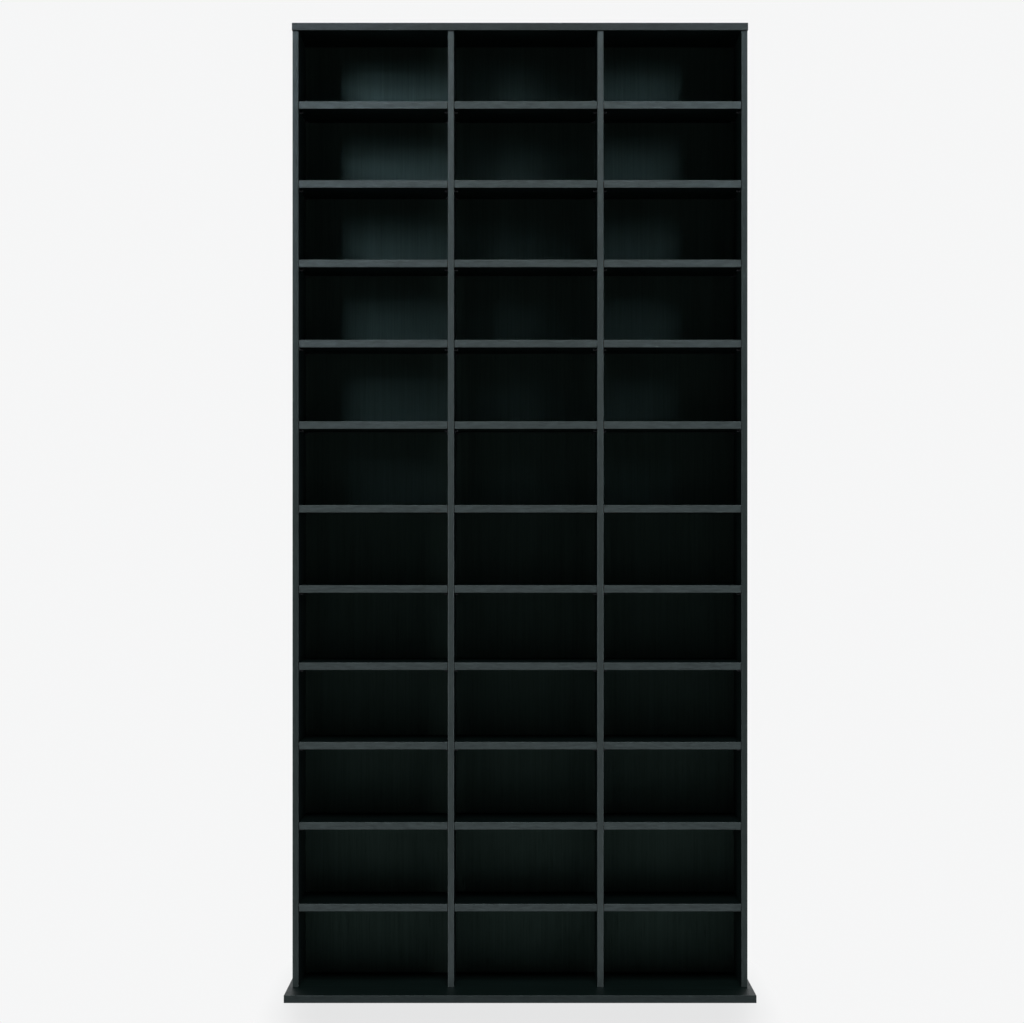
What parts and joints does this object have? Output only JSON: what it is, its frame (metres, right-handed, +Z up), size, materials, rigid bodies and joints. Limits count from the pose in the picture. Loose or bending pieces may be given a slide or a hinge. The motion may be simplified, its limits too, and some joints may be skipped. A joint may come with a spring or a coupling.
{
  "type": "media shelf",
  "caption": "Tall open media shelf on a wide base board, with full-height dividers and loose shelves on pins that pull out to the front.",
  "frame": {"origin": "on the floor, under the middle of the base board", "axes": "+Z up, the open front faces -Y, the closed back faces +Y, +X to the right as seen from the front"},
  "size_m": [0.932, 0.24, 1.95],
  "materials": {
    "carcass_boards": "satin black wood-grain melamine on particleboard, with banded edges",
    "shelf_boards": "satin black wood-grain melamine on particleboard, with a banded front edge",
    "back_panels": "black wood-grain paper on thin hardboard",
    "cam_locks": "die-cast zinc, dull"
  },
  "bodies": {
    "carcass": {"top_panel": "carcass_boards", "base_panel": "carcass_boards", "side_left": "carcass_boards", "side_right": "carcass_boards", "divider_left": "carcass_boards", "divider_right": "carcass_boards", "back_left": "back_panels", "back_middle": "back_panels", "back_right": "back_panels", "shelf_left_06": "shelf_boards", "shelf_middle_06": "shelf_boards", "shelf_right_06": "shelf_boards", "cam_left_left_front": "cam_locks", "cam_left_left_rear": "cam_locks", "cam_left_right_front": "cam_locks", "cam_left_right_rear": "cam_locks", "cam_middle_left_front": "cam_locks", "cam_middle_left_rear": "cam_locks", "cam_middle_right_front": "cam_locks", "cam_middle_right_rear": "cam_locks", "cam_right_left_front": "cam_locks", "cam_right_left_rear": "cam_locks", "cam_right_right_front": "cam_locks", "cam_right_right_rear": "cam_locks"},
    "shelf_left_01": {"shelf_left_01": "shelf_boards"},
    "shelf_left_02": {"shelf_left_02": "shelf_boards"},
    "shelf_left_03": {"shelf_left_03": "shelf_boards"},
    "shelf_left_04": {"shelf_left_04": "shelf_boards"},
    "shelf_left_05": {"shelf_left_05": "shelf_boards"},
    "shelf_left_07": {"shelf_left_07": "shelf_boards"},
    "shelf_left_08": {"shelf_left_08": "shelf_boards"},
    "shelf_left_09": {"shelf_left_09": "shelf_boards"},
    "shelf_left_10": {"shelf_left_10": "shelf_boards"},
    "shelf_left_11": {"shelf_left_11": "shelf_boards"},
    "shelf_middle_01": {"shelf_middle_01": "shelf_boards"},
    "shelf_middle_02": {"shelf_middle_02": "shelf_boards"},
    "shelf_middle_03": {"shelf_middle_03": "shelf_boards"},
    "shelf_middle_04": {"shelf_middle_04": "shelf_boards"},
    "shelf_middle_05": {"shelf_middle_05": "shelf_boards"},
    "shelf_middle_07": {"shelf_middle_07": "shelf_boards"},
    "shelf_middle_08": {"shelf_middle_08": "shelf_boards"},
    "shelf_middle_09": {"shelf_middle_09": "shelf_boards"},
    "shelf_middle_10": {"shelf_middle_10": "shelf_boards"},
    "shelf_middle_11": {"shelf_middle_11": "shelf_boards"},
    "shelf_right_01": {"shelf_right_01": "shelf_boards"},
    "shelf_right_02": {"shelf_right_02": "shelf_boards"},
    "shelf_right_03": {"shelf_right_03": "shelf_boards"},
    "shelf_right_04": {"shelf_right_04": "shelf_boards"},
    "shelf_right_05": {"shelf_right_05": "shelf_boards"},
    "shelf_right_07": {"shelf_right_07": "shelf_boards"},
    "shelf_right_08": {"shelf_right_08": "shelf_boards"},
    "shelf_right_09": {"shelf_right_09": "shelf_boards"},
    "shelf_right_10": {"shelf_right_10": "shelf_boards"},
    "shelf_right_11": {"shelf_right_11": "shelf_boards"}
  },
  "joints": [
    {"name": "slide_left_01", "type": "slide", "parent": "carcass", "child": "shelf_left_01", "axis": [0, -1, 0], "range_m": [0, 0.16]},
    {"name": "slide_left_02", "type": "slide", "parent": "carcass", "child": "shelf_left_02", "axis": [0, -1, 0], "range_m": [0, 0.16]},
    {"name": "slide_left_03", "type": "slide", "parent": "carcass", "child": "shelf_left_03", "axis": [0, -1, 0], "range_m": [0, 0.16]},
    {"name": "slide_left_04", "type": "slide", "parent": "carcass", "child": "shelf_left_04", "axis": [0, -1, 0], "range_m": [0, 0.16]},
    {"name": "slide_left_05", "type": "slide", "parent": "carcass", "child": "shelf_left_05", "axis": [0, -1, 0], "range_m": [0, 0.16]},
    {"name": "slide_left_07", "type": "slide", "parent": "carcass", "child": "shelf_left_07", "axis": [0, -1, 0], "range_m": [0, 0.16]},
    {"name": "slide_left_08", "type": "slide", "parent": "carcass", "child": "shelf_left_08", "axis": [0, -1, 0], "range_m": [0, 0.16]},
    {"name": "slide_left_09", "type": "slide", "parent": "carcass", "child": "shelf_left_09", "axis": [0, -1, 0], "range_m": [0, 0.16]},
    {"name": "slide_left_10", "type": "slide", "parent": "carcass", "child": "shelf_left_10", "axis": [0, -1, 0], "range_m": [0, 0.16]},
    {"name": "slide_left_11", "type": "slide", "parent": "carcass", "child": "shelf_left_11", "axis": [0, -1, 0], "range_m": [0, 0.16]},
    {"name": "slide_middle_01", "type": "slide", "parent": "carcass", "child": "shelf_middle_01", "axis": [0, -1, 0], "range_m": [0, 0.16]},
    {"name": "slide_middle_02", "type": "slide", "parent": "carcass", "child": "shelf_middle_02", "axis": [0, -1, 0], "range_m": [0, 0.16]},
    {"name": "slide_middle_03", "type": "slide", "parent": "carcass", "child": "shelf_middle_03", "axis": [0, -1, 0], "range_m": [0, 0.16]},
    {"name": "slide_middle_04", "type": "slide", "parent": "carcass", "child": "shelf_middle_04", "axis": [0, -1, 0], "range_m": [0, 0.16]},
    {"name": "slide_middle_05", "type": "slide", "parent": "carcass", "child": "shelf_middle_05", "axis": [0, -1, 0], "range_m": [0, 0.16]},
    {"name": "slide_middle_07", "type": "slide", "parent": "carcass", "child": "shelf_middle_07", "axis": [0, -1, 0], "range_m": [0, 0.16]},
    {"name": "slide_middle_08", "type": "slide", "parent": "carcass", "child": "shelf_middle_08", "axis": [0, -1, 0], "range_m": [0, 0.16]},
    {"name": "slide_middle_09", "type": "slide", "parent": "carcass", "child": "shelf_middle_09", "axis": [0, -1, 0], "range_m": [0, 0.16]},
    {"name": "slide_middle_10", "type": "slide", "parent": "carcass", "child": "shelf_middle_10", "axis": [0, -1, 0], "range_m": [0, 0.16]},
    {"name": "slide_middle_11", "type": "slide", "parent": "carcass", "child": "shelf_middle_11", "axis": [0, -1, 0], "range_m": [0, 0.16]},
    {"name": "slide_right_01", "type": "slide", "parent": "carcass", "child": "shelf_right_01", "axis": [0, -1, 0], "range_m": [0, 0.16]},
    {"name": "slide_right_02", "type": "slide", "parent": "carcass", "child": "shelf_right_02", "axis": [0, -1, 0], "range_m": [0, 0.16]},
    {"name": "slide_right_03", "type": "slide", "parent": "carcass", "child": "shelf_right_03", "axis": [0, -1, 0], "range_m": [0, 0.16]},
    {"name": "slide_right_04", "type": "slide", "parent": "carcass", "child": "shelf_right_04", "axis": [0, -1, 0], "range_m": [0, 0.16]},
    {"name": "slide_right_05", "type": "slide", "parent": "carcass", "child": "shelf_right_05", "axis": [0, -1, 0], "range_m": [0, 0.16]},
    {"name": "slide_right_07", "type": "slide", "parent": "carcass", "child": "shelf_right_07", "axis": [0, -1, 0], "range_m": [0, 0.16]},
    {"name": "slide_right_08", "type": "slide", "parent": "carcass", "child": "shelf_right_08", "axis": [0, -1, 0], "range_m": [0, 0.16]},
    {"name": "slide_right_09", "type": "slide", "parent": "carcass", "child": "shelf_right_09", "axis": [0, -1, 0], "range_m": [0, 0.16]},
    {"name": "slide_right_10", "type": "slide", "parent": "carcass", "child": "shelf_right_10", "axis": [0, -1, 0], "range_m": [0, 0.16]},
    {"name": "slide_right_11", "type": "slide", "parent": "carcass", "child": "shelf_right_11", "axis": [0, -1, 0], "range_m": [0, 0.16]}
  ]
}
